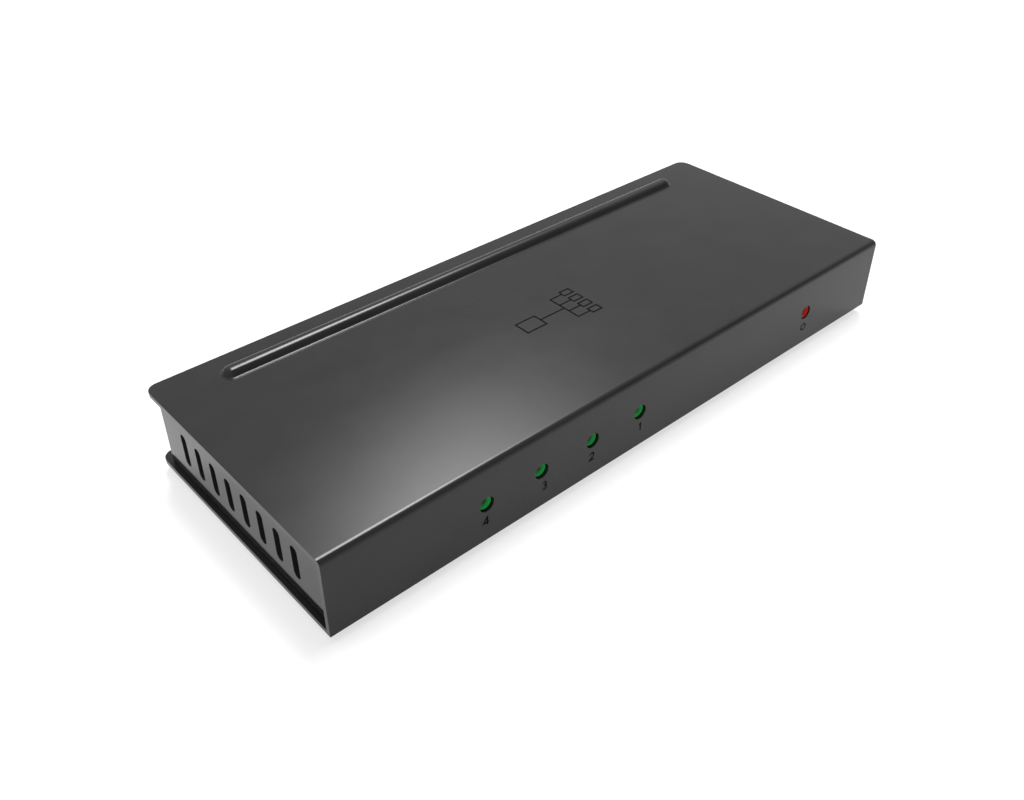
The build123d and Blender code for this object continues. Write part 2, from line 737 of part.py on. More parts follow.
# Indicator lamps: each a round lens with a dished face and a flange behind its holder
dish_reach = led_radius - led_rim
dish_radius = (dish_reach**2 + led_dish_depth**2) / (2 * led_dish_depth)
led_names = [f"green_led_{index + 1}" for index in range(led_count)] + ["red_led"]
for led_name, x, face_y in zip(led_names, led_xs, led_face_ys):
    with BuildPart() as led:
        with BuildSketch(front_plane(x, led_flange_y, led_z)):
            Circle(led_radius)
        extrude(amount=led_flange_y - face_y)
        fillet(led.edges().group_by(Axis.Y)[0], led_rim / 2)
        with BuildSketch(front_plane(x, led_back_y, led_z)):
            Circle(led_radius + led_flange_width)
        extrude(amount=led_flange_length)
        with Locations((x, face_y + led_dish_depth - dish_radius, led_z)):
            Sphere(dish_radius, mode=Mode.SUBTRACT)
    led.part.label = led_name
    export_step(led.part, f"parts/{led_name}.step")

# Lamp holders on the board's front edge
with BuildPart() as led_holders:
    with BuildSketch(front_plane(0, led_flange_y, board_z)):
        with Locations(*[(x, 0) for x in led_xs]):
            Rectangle(holder_width, led_z - board_z + holder_rise, align=(Align.CENTER, Align.MIN))
        with Locations(*[(x, led_z - board_z) for x in led_xs]):
            Circle(led_radius + holder_fit, mode=Mode.SUBTRACT)
    extrude(amount=led_flange_y - holder_front_y)
led_holders.part.label = "led_holders"
export_step(led_holders.part, "parts/led_holders.step")

# Lamp leads: straight back from the flange, then down through the board
lead_planes = [Plane.YZ.offset(x) for x in led_lead_xs]
with BuildPart() as led_leads:
    with BuildSketch(*lead_planes):
        Polygon(
            (led_back_y, led_z + lead_width / 2),
            (lead_bend_y, led_z + lead_width / 2),
            (lead_bend_y, board_bottom_z - lead_reach),
            (lead_bend_y - lead_width, board_bottom_z - lead_reach),
            (lead_bend_y - lead_width, led_z - lead_width / 2),
            (led_back_y, led_z - lead_width / 2),
            align=None,
        )
    extrude(amount=lead_width / 2, both=True)
led_leads.part.label = "led_leads"
export_step(led_leads.part, "parts/led_leads.step")


def lead_row(place, turn, reach, count, pitch):
    """Upright planes across the leads of one side of a package, their local X pointing outwards."""
    outward = Vector(cos(radians(turn)), sin(radians(turn)), 0)
    along = Vector(sin(radians(turn)), -cos(radians(turn)), 0)
    side = Vector(place[0], place[1], board_z) + outward * reach
    return [Plane(origin=side + along * step, x_dir=outward, z_dir=along) for step in row(count, pitch)]


def gull_wing(body_height, reach):
    """The side view of one package lead, from the body's side to the end of its foot."""
    exit_height = package_standoff + (body_height + package_lead_thickness) / 2
    return Polygon(
        (0, exit_height),
        (package_lead_knee, exit_height),
        (package_lead_knee, package_lead_thickness),
        (reach, package_lead_thickness),
        (reach, 0),
        (package_lead_knee - package_lead_thickness, 0),
        (package_lead_knee - package_lead_thickness, exit_height - package_lead_thickness),
        (0, exit_height - package_lead_thickness),
        align=None,
    )


# Splitter chip
splitter_place = board_place(splitter_place_shares)
with BuildPart() as splitter_chip:
    with BuildSketch(Plane.XY.offset(board_z + package_standoff)):
        with Locations(splitter_place):
            Rectangle(splitter_size, splitter_size)
    extrude(amount=splitter_height)
    chamfer(splitter_chip.edges().group_by(Axis.Z)[-1], package_edge)
splitter_chip.part.label = "splitter_chip"
export_step(splitter_chip.part, "parts/splitter_chip.step")

with BuildPart() as splitter_leads:
    for turn in (0, 90, 180, 270):
        side_planes = lead_row(
            splitter_place, turn, splitter_size / 2, splitter_lead_count, splitter_lead_pitch
        )
        with BuildSketch(*side_planes):
            gull_wing(splitter_height, package_lead_reach)
        extrude(amount=splitter_lead_width / 2, both=True)
splitter_leads.part.label = "splitter_leads"
export_step(splitter_leads.part, "parts/splitter_leads.step")

# Thermal pad and heat sink on the splitter chip
pad_z = board_z + package_standoff + splitter_height
sink_z = pad_z + pad_thickness
with BuildPart() as thermal_pad:
    with BuildSketch(Plane.XY.offset(pad_z)):
        with Locations(splitter_place):
            Rectangle(pad_size, pad_size)
    extrude(amount=pad_thickness)
thermal_pad.part.label = "thermal_pad"
export_step(thermal_pad.part, "parts/thermal_pad.step")

fin_pitch = (sink_size - fin_thickness) / (fin_count - 1)
with BuildPart() as heat_sink:
    with BuildSketch(Plane.XY.offset(sink_z)):
        with Locations(splitter_place):
            Rectangle(sink_size, sink_size)
    extrude(amount=sink_base)
    with BuildSketch(Plane.XY.offset(sink_z + sink_base)):
        with Locations(splitter_place):
            with Locations(*[(step, 0) for step in row(fin_count, fin_pitch)]):
                Rectangle(fin_thickness, sink_size)
    extrude(amount=roof_z - sink_headroom - sink_z - sink_base)
heat_sink.part.label = "heat_sink"
export_step(heat_sink.part, "parts/heat_sink.step")

# Controller chip
controller_place = board_place(controller_place_shares)
with BuildPart() as controller_chip:
    with BuildSketch(Plane.XY.offset(board_z + package_standoff)):
        with Locations(controller_place):
            Rectangle(controller_size, controller_size)
    extrude(amount=controller_height)
    chamfer(controller_chip.edges().group_by(Axis.Z)[-1], package_edge)
controller_chip.part.label = "controller_chip"
export_step(controller_chip.part, "parts/controller_chip.step")

with BuildPart() as controller_leads:
    for turn in (0, 90, 180, 270):
        side_planes = lead_row(
            controller_place, turn, controller_size / 2, controller_lead_count, controller_lead_pitch
        )
        with BuildSketch(*side_planes):
            gull_wing(controller_height, package_lead_reach)
        extrude(amount=splitter_lead_width / 2, both=True)
controller_leads.part.label = "controller_leads"
export_step(controller_leads.part, "parts/controller_leads.step")

# Memory chip
memory_place = board_place(memory_place_shares)
with BuildPart() as memory_chip:
    with BuildSketch(Plane.XY.offset(board_z + package_standoff)):
        with Locations(memory_place):
            Rectangle(memory_width, memory_length)
    extrude(amount=memory_height)
    chamfer(memory_chip.edges().group_by(Axis.Z)[-1], package_edge)
memory_chip.part.label = "memory_chip"
export_step(memory_chip.part, "parts/memory_chip.step")

with BuildPart() as memory_leads:
    for turn in (0, 180):
        side_planes = lead_row(memory_place, turn, memory_width / 2, memory_lead_count, memory_lead_pitch)
        with BuildSketch(*side_planes):
            gull_wing(memory_height, package_lead_reach)
        extrude(amount=splitter_lead_width / 2, both=True)
memory_leads.part.label = "memory_leads"
export_step(memory_leads.part, "parts/memory_leads.step")

# Voltage regulators: bodies, then the tab on one side and three leads on the other
regulator_places = [board_place(shares) for shares in regulator_place_shares]
with BuildPart() as voltage_regulators:
    with BuildSketch(Plane.XY.offset(board_z + package_standoff)):
        with Locations(*regulator_places):
            Rectangle(regulator_width, regulator_length)
    extrude(amount=regulator_height)
    chamfer(voltage_regulators.edges().group_by(Axis.Z)[-1], package_edge)
voltage_regulators.part.label = "voltage_regulators"
export_step(voltage_regulators.part, "parts/voltage_regulators.step")

with BuildPart() as regulator_leads:
    for place in regulator_places:
        with BuildSketch(*lead_row(place, 0, regulator_width / 2, 1, regulator_tab_width)):
            gull_wing(regulator_height, regulator_lead_reach)
        extrude(amount=regulator_tab_width / 2, both=True)
        lead_side = lead_row(place, 180, regulator_width / 2, regulator_lead_count, regulator_lead_pitch)
        with BuildSketch(*lead_side):
            gull_wing(regulator_height, regulator_lead_reach)
        extrude(amount=regulator_lead_width / 2, both=True)
regulator_leads.part.label = "regulator_leads"
export_step(regulator_leads.part, "parts/regulator_leads.step")

# Power inductor, a square shielded block around a round core
with BuildPart() as power_inductor:
    with BuildSketch(Plane.XY.offset(board_z)) as inductor_outline:
        with Locations(board_place(inductor_place_shares)):
            Rectangle(inductor_size, inductor_size)
        chamfer(inductor_outline.vertices(), inductor_corner)
    extrude(amount=inductor_height)
    with BuildSketch(Plane.XY.offset(board_z + inductor_height)):
        with Locations(board_place(inductor_place_shares)):
            Circle(inductor_core_diameter / 2)
    extrude(amount=-inductor_core_recess, mode=Mode.SUBTRACT)
power_inductor.part.label = "power_inductor"
export_step(power_inductor.part, "parts/power_inductor.step")

# Input fuse and polarity diode
with BuildPart() as input_fuse:
    with BuildSketch(Plane.XY.offset(board_z)):
        with Locations(board_place(fuse_place_shares)):
            Rectangle(fuse_length, fuse_width)
    extrude(amount=fuse_height)
    chamfer(input_fuse.edges().group_by(Axis.Z)[-1], package_edge)
input_fuse.part.label = "input_fuse"
export_step(input_fuse.part, "parts/input_fuse.step")

with BuildPart() as polarity_diode:
    with BuildSketch(Plane.XY.offset(board_z)):
        with Locations(board_place(diode_place_shares)):
            Rectangle(diode_length, diode_width)
    extrude(amount=diode_height)
    chamfer(polarity_diode.edges().group_by(Axis.Z)[-1], package_edge)
polarity_diode.part.label = "polarity_diode"
export_step(polarity_diode.part, "parts/polarity_diode.step")

# Solder tabs at both ends of the fuse, the diode and the inductor
tabbed_parts = (
    (fuse_place_shares, fuse_length, fuse_width),
    (diode_place_shares, diode_length, diode_width),
    (inductor_place_shares, inductor_size, inductor_size - 2 * inductor_corner),
)
with BuildPart() as power_part_tabs:
    for place_shares, length, width in tabbed_parts:
        with BuildSketch(Plane(origin=(*board_place(place_shares), board_z))):
            with Locations(*[(side * (length + tab_thickness) / 2, 0) for side in (-1, 1)]):
                Rectangle(tab_thickness, width * tab_width_share)
        extrude(amount=tab_height)
power_part_tabs.part.label = "power_part_tabs"
export_step(power_part_tabs.part, "parts/power_part_tabs.step")

# Electrolytic capacitors: crimped cans on moulded bases
can_places = [board_place(shares) for shares in can_place_shares]
can_base_size = can_diameter + 2 * can_base_margin
with BuildPart() as capacitor_bases:
    for place in can_places:
        with BuildSketch(Plane(origin=(*place, board_z))) as can_base_outline:
            Rectangle(can_base_size, can_base_size)
            chamfer(can_base_outline.vertices().group_by(Axis.X)[-1], can_base_corner)
        extrude(amount=can_base_height)
capacitor_bases.part.label = "capacitor_bases"
export_step(capacitor_bases.part, "parts/capacitor_bases.step")

with BuildPart() as capacitor_cans:
    with BuildSketch(Plane.XY.offset(board_z + can_base_height)):
        with Locations(*can_places):
            Circle(can_diameter / 2)
    extrude(amount=can_height)
    fillet(capacitor_cans.edges().group_by(Axis.Z)[-1], can_edge)
    with BuildSketch(Plane.XY.offset(board_z + can_base_height + can_groove_width)):
        with Locations(*can_places):
            Circle(can_diameter / 2)
            Circle(can_diameter / 2 - can_groove_depth, mode=Mode.SUBTRACT)
    extrude(amount=can_groove_width, mode=Mode.SUBTRACT)
capacitor_cans.part.label = "capacitor_cans"
export_step(capacitor_cans.part, "parts/capacitor_cans.step")

# Quartz crystal: an oblong can on a narrow flange
with BuildPart() as quartz_crystal:
    with BuildSketch(Plane.XY.offset(board_z)):
        with Locations(board_place(crystal_place_shares)):
            SlotOverall(crystal_length, crystal_width)
    extrude(amount=crystal_flange)
    with BuildSketch(Plane.XY.offset(board_z + crystal_flange)):
        with Locations(board_place(crystal_place_shares)):
            SlotOverall(crystal_length - 2 * crystal_flange, crystal_width - 2 * crystal_flange)
    extrude(amount=crystal_height - crystal_flange)
    fillet(quartz_crystal.edges().group_by(Axis.Z)[-1], crystal_edge)
quartz_crystal.part.label = "quartz_crystal"
export_step(quartz_crystal.part, "parts/quartz_crystal.step")

# Surge protection arrays, two behind each socket
array_steps = row(arrays_per_socket, array_spacing)
with BuildPart() as surge_arrays:
    with BuildSketch(Plane.XY.offset(board_z)):
        with Locations(*[(x + step, array_y) for x in socket_xs for step in array_steps]):
            Rectangle(array_length, array_width)
    extrude(amount=array_height)
surge_arrays.part.label = "surge_arrays"
export_step(surge_arrays.part, "parts/surge_arrays.step")

# Chip capacitors around the splitter chip and behind the sockets, and chip resistors beside them
ring_reach = splitter_size / 2 + package_lead_reach + ring_gap + chip_width / 2
ring_steps = row(ring_row_count, ring_spacing)
ring_x, ring_y = splitter_place
across_places = [(ring_x + step, ring_y + side * ring_reach) for side in (-1, 1) for step in ring_steps]
along_places = [(ring_x + side * ring_reach, ring_y + step) for side in (-1, 1) for step in ring_steps]
chip_steps = row(chips_per_socket, chip_spacing)
socket_row_places = [(x + step, chip_row_y) for x in socket_xs for step in chip_steps]
across_places += socket_row_places[::2]
resistor_places = socket_row_places[1::2]
body_length = chip_length - 2 * chip_end
with BuildPart() as chip_capacitors:
    with BuildSketch(Plane.XY.offset(board_z)):
        with Locations(*across_places):
            Rectangle(body_length, chip_width)
        with Locations(*along_places):
            Rectangle(chip_width, body_length)
    extrude(amount=capacitor_height)
chip_capacitors.part.label = "chip_capacitors"
export_step(chip_capacitors.part, "parts/chip_capacitors.step")

with BuildPart() as chip_resistors:
    with BuildSketch(Plane.XY.offset(board_z)):
        with Locations(*resistor_places):
            Rectangle(body_length, chip_width)
    extrude(amount=resistor_height)
chip_resistors.part.label = "chip_resistors"
export_step(chip_resistors.part, "parts/chip_resistors.step")

end_step = (body_length + chip_end) / 2
with BuildPart() as chip_end_caps:
    with BuildSketch(Plane.XY.offset(board_z)):
        with Locations(*[(x + side * end_step, y) for x, y in across_places for side in (-1, 1)]):
            Rectangle(chip_end, chip_width)
        with Locations(*[(x, y + side * end_step) for x, y in along_places for side in (-1, 1)]):
            Rectangle(chip_width, chip_end)
    extrude(amount=capacitor_height)
    with BuildSketch(Plane.XY.offset(board_z)):
        with Locations(*[(x + side * end_step, y) for x, y in resistor_places for side in (-1, 1)]):
            Rectangle(chip_end, chip_width)
    extrude(amount=resistor_height)
chip_end_caps.part.label = "chip_end_caps"
export_step(chip_end_caps.part, "parts/chip_end_caps.step")
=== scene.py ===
import json
from math import cos, pi, radians, sin

import bpy
from mathutils import Matrix, Vector


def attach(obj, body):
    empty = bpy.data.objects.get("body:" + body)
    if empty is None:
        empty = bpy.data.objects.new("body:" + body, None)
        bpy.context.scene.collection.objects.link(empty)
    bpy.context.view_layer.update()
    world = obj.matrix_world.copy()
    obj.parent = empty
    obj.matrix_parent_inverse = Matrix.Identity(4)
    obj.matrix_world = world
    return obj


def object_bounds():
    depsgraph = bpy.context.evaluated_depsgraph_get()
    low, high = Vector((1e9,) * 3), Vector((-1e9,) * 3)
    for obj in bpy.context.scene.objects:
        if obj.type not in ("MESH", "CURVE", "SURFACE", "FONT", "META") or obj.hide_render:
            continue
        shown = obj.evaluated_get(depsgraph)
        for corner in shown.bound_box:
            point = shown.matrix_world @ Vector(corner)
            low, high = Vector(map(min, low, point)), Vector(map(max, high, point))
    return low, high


MM = 0.001

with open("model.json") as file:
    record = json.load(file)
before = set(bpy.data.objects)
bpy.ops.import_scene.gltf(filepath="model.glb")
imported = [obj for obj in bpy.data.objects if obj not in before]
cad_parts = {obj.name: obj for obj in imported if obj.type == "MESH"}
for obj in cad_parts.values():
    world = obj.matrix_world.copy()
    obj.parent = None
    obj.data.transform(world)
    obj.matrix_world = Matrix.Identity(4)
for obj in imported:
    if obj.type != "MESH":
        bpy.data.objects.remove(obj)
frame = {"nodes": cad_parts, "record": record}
cad_low, cad_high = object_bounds()
bpy.context.scene.view_settings.view_transform = "Standard"

# Camera at the photograph's place
PHOTO_WIDTH_PX = 1024
SENSOR_WIDTH_MM = 36.0
CLIP_START = 0.005
CLIP_END = 20.0


def place_camera(azimuth, elevation, roll, place, focal_px, shift):
    """Makes the scene's camera; angles in degrees, azimuth 0 looks along +Y."""
    az, el, turn = radians(azimuth), radians(elevation), radians(roll)
    back = Vector((sin(az) * cos(el), -cos(az) * cos(el), sin(el)))
    right = (-back).cross(Vector((0, 0, 1))).normalized()
    up = right.cross(-back)
    right_rolled = cos(turn) * right + sin(turn) * up
    up_rolled = -sin(turn) * right + cos(turn) * up
    axes = Matrix((right_rolled, up_rolled, back)).transposed()
    data = bpy.data.cameras.new("camera")
    data.sensor_width = SENSOR_WIDTH_MM
    data.lens = focal_px * SENSOR_WIDTH_MM / PHOTO_WIDTH_PX
    data.shift_x, data.shift_y = shift
    data.clip_start = CLIP_START
    data.clip_end = CLIP_END
    camera = bpy.data.objects.new("camera", data)
    camera.matrix_world = Matrix.Translation(place) @ axes.to_4x4()
    bpy.context.scene.collection.objects.link(camera)
    bpy.context.scene.camera = camera


place_camera(
    azimuth=-41.85,
    elevation=35.77,
    roll=0.106,
    place=(-0.13363, -0.13826, 0.14139),
    focal_px=1032.2,
    shift=(-0.00433, -0.02968),
)


# Node helpers
def math_node(tree, operation, first, second):
    """Result of the operation on two values; each is a number or an output."""
    node = tree.nodes.new("ShaderNodeMath")
    node.operation = operation
    for index, value in enumerate((first, second)):
        if isinstance(value, (int, float)):
            node.inputs[index].default_value = value
        else:
            tree.links.new(value, node.inputs[index])
    return node.outputs["Value"]


class Maker:
    """Adds nodes to one material and joins them."""

    def __init__(self, name):
        self.material = bpy.data.materials.new(name)
        self.material.use_nodes = True
        self.tree = self.material.node_tree
        self.shader = self.tree.nodes["Principled BSDF"]
        coordinates = self.add("ShaderNodeTexCoord")
        self.place = coordinates.outputs["Object"]
        self.place_in_box = coordinates.outputs["Generated"]

    def add(self, kind, **settings):
        node = self.tree.nodes.new(kind)
        for name, value in settings.items():
            setattr(node, name, value)
        return node

    def join(self, output, target):
        self.tree.links.new(output, target)

    def stretched(self, scale):
        """Object coordinates, each axis multiplied by its own factor."""
        mapping = self.add("ShaderNodeMapping")
        mapping.inputs["Scale"].default_value = scale
        self.join(self.place, mapping.inputs["Vector"])
        return mapping.outputs["Vector"]

    def noise(self, size, detail=3.0, roughness=0.5, place=None):
        """Noise with features of about that size, in metres."""
        node = self.add("ShaderNodeTexNoise")
        node.inputs["Scale"].default_value = 1.0 / size
        node.inputs["Detail"].default_value = detail
        node.inputs["Roughness"].default_value = roughness
        self.join(place or self.place, node.inputs["Vector"])
        return node.outputs["Fac"]

    def cells(self, size, feature="F1", place=None):
        """Distances in a pattern of cells of about that size, in metres."""
        node = self.add("ShaderNodeTexVoronoi", feature=feature)
        node.inputs["Scale"].default_value = 1.0 / size
        self.join(place or self.place, node.inputs["Vector"])
        return node.outputs["Distance"]

    def remap(self, value, low, high, start=0.3, end=0.7):
        """From low to high while the value runs from start to end."""
        node = self.add("ShaderNodeMapRange")
        node.inputs["From Min"].default_value = start
        node.inputs["From Max"].default_value = end
        node.inputs["To Min"].default_value = low
        node.inputs["To Max"].default_value = high
        self.join(value, node.inputs["Value"])
        return node.outputs["Result"]

    def product(self, first, second):
        return math_node(self.tree, "MULTIPLY", first, second)

    def blend(self, factor, first, second):
        """Colour from first to second; each is a colour or an output."""
        node = self.add("ShaderNodeMix", data_type="RGBA")
        self.join(factor, node.inputs["Factor"])
        for socket, value in (("A", first), ("B", second)):
            target = [s for s in node.inputs if s.name == socket and s.type == "RGBA"][0]
            if isinstance(value, tuple):
                target.default_value = (*value, 1.0)
            else:
                self.join(value, target)
        return [s for s in node.outputs if s.type == "RGBA"][0]

    def mottled(self, size, detail, low, high):
        """Colour that wanders between two, in patches of about that size, in metres."""
        return self.blend(self.remap(self.noise(size, detail), 0.0, 1.0), low, high)

    def rounded(self, radius):
        """Normal that rounds the edges by that radius, in metres."""
        node = self.add("ShaderNodeBevel", samples=4)
        node.inputs["Radius"].default_value = radius
        return node.outputs["Normal"]

    def edge(self, radius, gain):
        """The gain along sharp edges, 0 on flat faces."""
        facing = self.add("ShaderNodeVectorMath", operation="DOT_PRODUCT")
        geometry = self.add("ShaderNodeNewGeometry")
        self.join(self.rounded(radius), facing.inputs[0])
        self.join(geometry.outputs["Normal"], facing.inputs[1])
        return self.remap(facing.outputs["Value"], gain, 0.0, start=0.75, end=1.0)

    def open_air(self, reach):
        """1 on open faces, 0 deep inside gaps narrower than the reach, in metres."""
        node = self.add("ShaderNodeAmbientOcclusion", samples=8)
        node.inputs["Distance"].default_value = reach
        return self.remap(node.outputs["AO"], 0.0, 1.0, start=0.12, end=0.5)

    def bump(self, height, depth, normal=None):
        node = self.add("ShaderNodeBump")
        node.inputs["Distance"].default_value = depth
        self.join(height, node.inputs["Height"])
        if normal is not None:
            self.join(normal, node.inputs["Normal"])
        self.join(node.outputs["Normal"], self.shader.inputs["Normal"])

    def set(self, **values):
        for name, value in values.items():
            self.shader.inputs[name.replace("_", " ")].default_value = value

    def colour(self, output):
        self.join(output, self.shader.inputs["Base Color"])

    def roughness(self, output):
        self.join(output, self.shader.inputs["Roughness"])


# Materials
PAINT_LOW = (0.0136, 0.0135, 0.0137)
PAINT_HIGH = (0.0164, 0.0162, 0.0165)
PAINT_WORN = (0.034, 0.034, 0.035)
# painted shade: the near-black colour put into gaps and inside the case
PAINT_GAP_SHADE = (0.003, 0.003, 0.003)
PAINT_IOR = 1.28
FULL_SPECULAR = 0.5  # the shader's own level


def case_paint():
    """Near-black semi-gloss paint with a fine orange peel, worn on edges, with painted shade in
    gaps: darker colour and weaker reflection there.
    """
    m = Maker("case_paint")
    base = m.mottled(9 * MM, 4.0, PAINT_LOW, PAINT_HIGH)
    rubbed = m.product(m.edge(0.25 * MM, gain=0.5), m.remap(m.noise(1.3 * MM), 0.2, 1.0))
    worn = m.blend(rubbed, base, PAINT_WORN)
    open_air = m.open_air(6 * MM)
    # painted shade: the colour darkens to near black in gaps and inside the case
    m.colour(m.blend(open_air, PAINT_GAP_SHADE, worn))
    # painted shade: the reflection weakens in gaps
    m.join(m.product(open_air, FULL_SPECULAR), m.shader.inputs["Specular IOR Level"])
    smears = m.noise(14 * MM, 5.0, 0.6, m.stretched((0.6, 1.6, 1.0)))
    m.roughness(m.remap(smears, 0.09, 0.13))
    m.set(IOR=PAINT_IOR)
    m.bump(m.noise(0.55 * MM, 2.0), 0.0045 * MM, m.rounded(0.08 * MM))
    return m.material


def foot_rubber():
    m = Maker("foot_rubber")
    m.colour(m.mottled(1.5 * MM, 5.0, (0.018, 0.018, 0.018), (0.034, 0.033, 0.032)))
    m.roughness(m.remap(m.noise(0.8 * MM), 0.72, 0.9))
    m.bump(m.noise(0.16 * MM), 0.02 * MM, m.rounded(0.2 * MM))
    return m.material


def thermal_rubber():
    m = Maker("thermal_rubber")
    m.colour(m.mottled(0.8 * MM, 5.0, (0.28, 0.34, 0.42), (0.36, 0.43, 0.51)))
    m.roughness(m.remap(m.noise(0.5 * MM), 0.7, 0.85))
    m.bump(m.noise(0.2 * MM), 0.02 * MM)
    return m.material


def mark_ink():
    m = Maker("mark_ink")
    m.colour(m.mottled(0.3 * MM, 4.0, (0.002, 0.002, 0.002), (0.006, 0.006, 0.006)))
    m.roughness(m.remap(m.noise(0.2 * MM), 0.75, 0.9))
    m.set(Specular_IOR_Level=0.0)
    m.bump(m.noise(0.12 * MM), 0.002 * MM)
    return m.material


def board_laminate():
    """Dark solder mask over copper tracks, with small via holes."""
    m = Maker("board_laminate")
    tracks = m.cells(2.6 * MM, "DISTANCE_TO_EDGE", m.stretched((1.0, 2.2, 1.0)))
    copper = m.remap(tracks, 1.0, 0.0, start=0.05, end=0.09)
    vias = m.remap(m.cells(3.1 * MM), 1.0, 0.0, start=0.07, end=0.10)
    mask = m.mottled(4 * MM, 3.0, (0.008, 0.012, 0.011), (0.012, 0.018, 0.016))
    traced = m.blend(copper, mask, (0.022, 0.034, 0.028))
    m.colour(m.blend(vias, traced, (0.30, 0.29, 0.26)))
    m.roughness(m.remap(m.noise(1.2 * MM), 0.28, 0.4))
    m.bump(math_node(m.tree, "ADD", copper, m.noise(0.3 * MM)), 0.03 * MM)
    return m.material


def moulded(name, low, high, rough, grain=0.12, depth=0.008):
    """Moulded plastic or resin with a spark-eroded grain; grain and depth in mm."""
    m = Maker(name)
    shade = m.mottled(2.5 * MM, 4.0, low, high)
    pale = tuple(1.7 * part + 0.01 for part in high)
    m.colour(m.blend(m.edge(0.12 * MM, gain=0.5), shade, pale))
    m.roughness(m.remap(m.noise(1.1 * MM), rough - 0.07, rough + 0.07))
    m.bump(m.noise(grain * MM), depth * MM, m.rounded(0.06 * MM))
    return m.material


def plated(name, low, high, rough, stretch=(1.0, 1.0, 1.0), grain=0.25, depth=0.003):
    """Plated or bare metal with drawing lines and duller patches; grain and depth in mm."""
    m = Maker(name)
    lines = m.noise(grain * MM, 4.0, 0.6, m.stretched(stretch))
    clouds = m.noise(3 * MM, 4.0)
    dulled = m.remap(m.product(lines, clouds), 0.0, 1.0, start=0.1, end=0.45)
    m.colour(m.blend(dulled, low, high))
    m.roughness(m.remap(lines, rough - 0.06, rough + 0.08))
    m.set(Metallic=1.0)
    m.bump(lines, depth * MM, m.rounded(0.05 * MM))
    return m.material


LENS_SHADE_CENTRE = (0.46, 0.05, 0.54)  # centre of the painted shade, from 0 to 1 across the lamp's own box


def lens(name, bright, dark):
    """Tinted lamp resin with painted shade, dark near its middle, and painted light, bright at
    its rim.
    """
    m = Maker(name)
    distance = m.add("ShaderNodeVectorMath", operation="DISTANCE")
    m.join(m.place_in_box, distance.inputs[0])
    distance.inputs[1].default_value = LENS_SHADE_CENTRE
    # painted shade near the middle, fading to painted light at the rim
    shade = m.remap(distance.outputs["Value"], 0.0, 1.0, start=0.09, end=0.36)
    patchy_shade = m.product(shade, m.remap(m.noise(0.9 * MM), 0.85, 1.0))
    m.colour(m.blend(patchy_shade, dark, bright))
    m.roughness(m.remap(m.noise(0.35 * MM), 0.25, 0.35))
    m.set(IOR=1.25, Specular_IOR_Level=0.25)
    m.bump(m.noise(0.2 * MM, 2.0), 0.002 * MM)
    return m.material


# Low colour, high colour, roughness, then where needed grain and depth
MOULDED = {
    "socket_plastic": ((0.018, 0.018, 0.019), (0.03, 0.03, 0.031), 0.42),
    "jack_plastic": ((0.02, 0.02, 0.02), (0.034, 0.034, 0.034), 0.46, 0.2, 0.012),
    "chip_resin": ((0.02, 0.02, 0.021), (0.034, 0.034, 0.036), 0.6, 0.1),
    "ferrite": ((0.06, 0.06, 0.06), (0.11, 0.11, 0.108), 0.66, 0.25, 0.02),
    "can_base_resin": ((0.022, 0.022, 0.022), (0.036, 0.036, 0.036), 0.5),
    "capacitor_ceramic": ((0.36, 0.25, 0.14), (0.50, 0.37, 0.23), 0.55, 0.15),
}
# Low colour, high colour, roughness, then where needed stretch, grain and depth
PLATED = {
    "screw_steel": ((0.045, 0.045, 0.05), (0.10, 0.10, 0.105), 0.34),
    "post_metal": ((0.52, 0.50, 0.45), (0.66, 0.64, 0.58), 0.3, (1.0, 1.0, 0.15)),
    "shell_steel": ((0.50, 0.50, 0.48), (0.66, 0.66, 0.64), 0.27, (1.0, 0.12, 1.0), 0.4, 0.0006),
    "contact_gold": ((0.72, 0.52, 0.20), (0.86, 0.66, 0.30), 0.22, (1.0, 0.2, 1.0), 0.12),
    "jack_metal": ((0.56, 0.54, 0.50), (0.70, 0.68, 0.63), 0.24, (1.0, 1.0, 1.0), 0.25, 0.0008),
    "tinned_lead": ((0.52, 0.52, 0.51), (0.68, 0.68, 0.67), 0.33, (1.0, 1.0, 1.0), 0.15),
    "sink_aluminium": ((0.05, 0.05, 0.053), (0.09, 0.09, 0.095), 0.42, (1.0, 0.1, 1.0)),
    "can_aluminium": ((0.62, 0.62, 0.63), (0.76, 0.76, 0.77), 0.26, (1.0, 1.0, 0.1)),
    "crystal_steel": ((0.56, 0.56, 0.55), (0.72, 0.72, 0.71), 0.22, (0.15, 1.0, 1.0)),
}
# Painted-light rim colour, painted-shade middle colour
LENSES = {
    "green_lens": ((0.006, 0.27, 0.045), (0.001, 0.004, 0.001)),
    "red_lens": ((0.40, 0.010, 0.006), (0.045, 0.001, 0.001)),
}
materials = {
    "case_paint": case_paint(),
    "foot_rubber": foot_rubber(),
    "thermal_rubber": thermal_rubber(),
    "board_laminate": board_laminate(),
}
for make, table in ((moulded, MOULDED), (plated, PLATED), (lens, LENSES)):
    materials |= {name: make(name, *values) for name, values in table.items()}

for part in frame["record"]["subparts"]:
    node = frame["nodes"][part["node"]]
    material = materials[part["material_slot"]]
    for slot in node.material_slots:
        slot.material = material
    if not node.material_slots:
        node.data.materials.append(material)

# Printed marks on the front wall and the top; strokes are drawn in mm
mark_material = mark_ink()


def stroke(points, width):
    """Vertices and faces of a flat line of even width through the points."""
    points = [Vector(point) for point in points]
    steps = [(after - before).normalized() for before, after in zip(points, points[1:])]
    vertices = []
    for index, point in enumerate(points):
        before = steps[max(index - 1, 0)]
        after = steps[min(index, len(steps) - 1)]
        along = (before + after).normalized()
        side = Vector((-along.y, along.x)) * width / 2 / along.dot(after)
        vertices += [(*(point + side), 0.0), (*(point - side), 0.0)]
    faces = [(i, i + 1, i + 3, i + 2) for i in range(0, len(vertices) - 2, 2)]
    return vertices, faces


